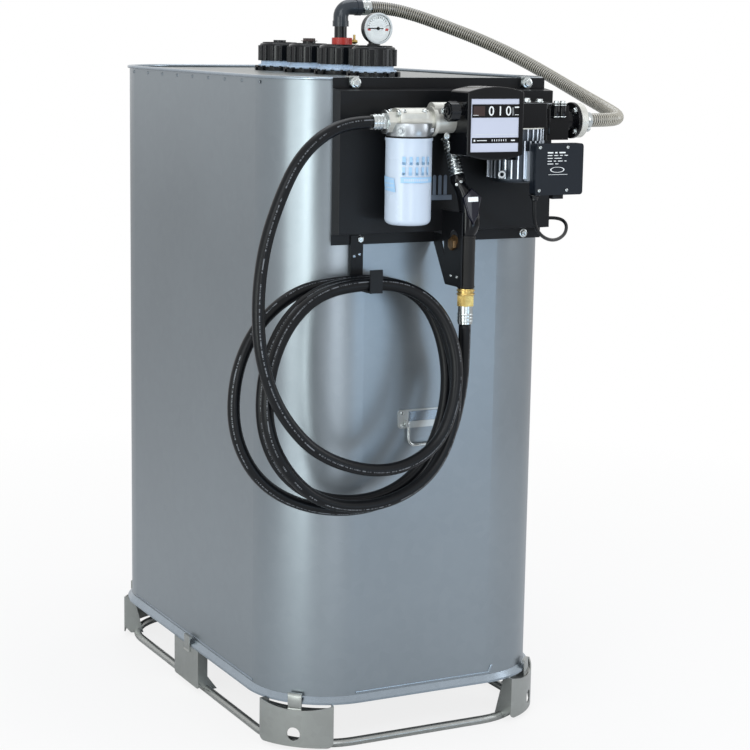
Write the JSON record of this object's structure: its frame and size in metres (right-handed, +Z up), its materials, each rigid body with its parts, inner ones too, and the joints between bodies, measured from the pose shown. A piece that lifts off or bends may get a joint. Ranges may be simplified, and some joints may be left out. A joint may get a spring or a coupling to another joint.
{
  "type": "bunded diesel fuel tank",
  "caption": "Upright double-walled diesel tank with a rounded sheet-steel jacket, screw caps, level gauge and a front pump set with meter, filter, hose and nozzle.",
  "frame": {"origin": "centre of the tank's footprint on the floor", "axes": "+X to the right along the narrow front that carries the pump set, +Y from the front to the back, +Z up"},
  "size_m": [1.0193, 1.3745, 1.731],
  "materials": {
    "galvanised_sheet": "spangled zinc, semi-matt",
    "white_plastic": "matt",
    "black_plastic": "semi-matt",
    "red_plastic": "gloss",
    "grey_plastic": "matt",
    "brass": "machined",
    "zinc": "bright zinc",
    "clear_hose": "clear with a steel spiral",
    "black_paint": "fine-grained powder coat",
    "rubber": "satin",
    "cast_aluminium": "as cast",
    "white_paint": "gloss"
  },
  "bodies": {
    "tank": {"tank_jacket": "galvanised_sheet", "top_rim": "galvanised_sheet", "tank_roof": "galvanised_sheet", "tank_floor": "galvanised_sheet", "bottom_rim": "galvanised_sheet", "inner_tank": "white_plastic", "neck_rings": "black_plastic", "gauge_cap": "black_plastic", "suction_cap": "black_plastic", "vent_cap": "black_plastic", "fill_cap": "black_plastic", "cap_plugs": "black_plastic", "level_gauge": "black_plastic", "gauge_dial": "white_plastic", "suction_riser": "black_plastic", "suction_collar": "red_plastic", "suction_elbow": "grey_plastic", "suction_valve": "brass", "suction_clamps": "zinc", "suction_hose": "clear_hose", "pump_panel": "black_paint", "rim_clamps": "zinc", "panel_buffers": "rubber", "pump_body": "black_paint", "inlet_flange": "grey_plastic", "flange_ring": "zinc", "pump_motor": "cast_aluminium", "terminal_box": "grey_plastic", "cable_glands": "black_plastic", "power_cable": "rubber", "meter_body": "black_paint", "meter_face": "white_plastic", "outlet_elbow": "cast_aluminium", "filter_head": "cast_aluminium", "filter_can": "white_paint", "hose_ferrules": "zinc", "delivery_hose": "rubber", "hose_hook": "black_paint", "nozzle_holder": "black_paint", "nozzle_grip": "rubber", "nozzle_swivel": "brass", "nozzle_body": "black_plastic", "nozzle_spout": "zinc", "front_handle_plate": "galvanised_sheet", "rear_handle_plate": "galvanised_sheet", "base_ring": "galvanised_sheet", "corner_feet": "galvanised_sheet", "mid_feet": "galvanised_sheet"},
    "reset_knob": {"reset_knob": "black_plastic"},
    "front_bail": {"front_handle_bail": "zinc"},
    "rear_bail": {"rear_handle_bail": "zinc"}
  },
  "joints": [
    {"name": "reset_knob_turn", "type": "hinge", "parent": "tank", "child": "reset_knob", "pos_m": [-0.05, -0.741, 1.487], "axis": [-1, 0, 0], "continuous": true},
    {"name": "front_handle_swing", "type": "hinge", "parent": "tank", "child": "front_bail", "pos_m": [0, -0.584, 0.767], "axis": [-1, 0, 0], "range_deg": [0, 90]},
    {"name": "rear_handle_swing", "type": "hinge", "parent": "tank", "child": "rear_bail", "pos_m": [0, 0.584, 0.767], "axis": [1, 0, 0], "range_deg": [0, 90]}
  ]
}
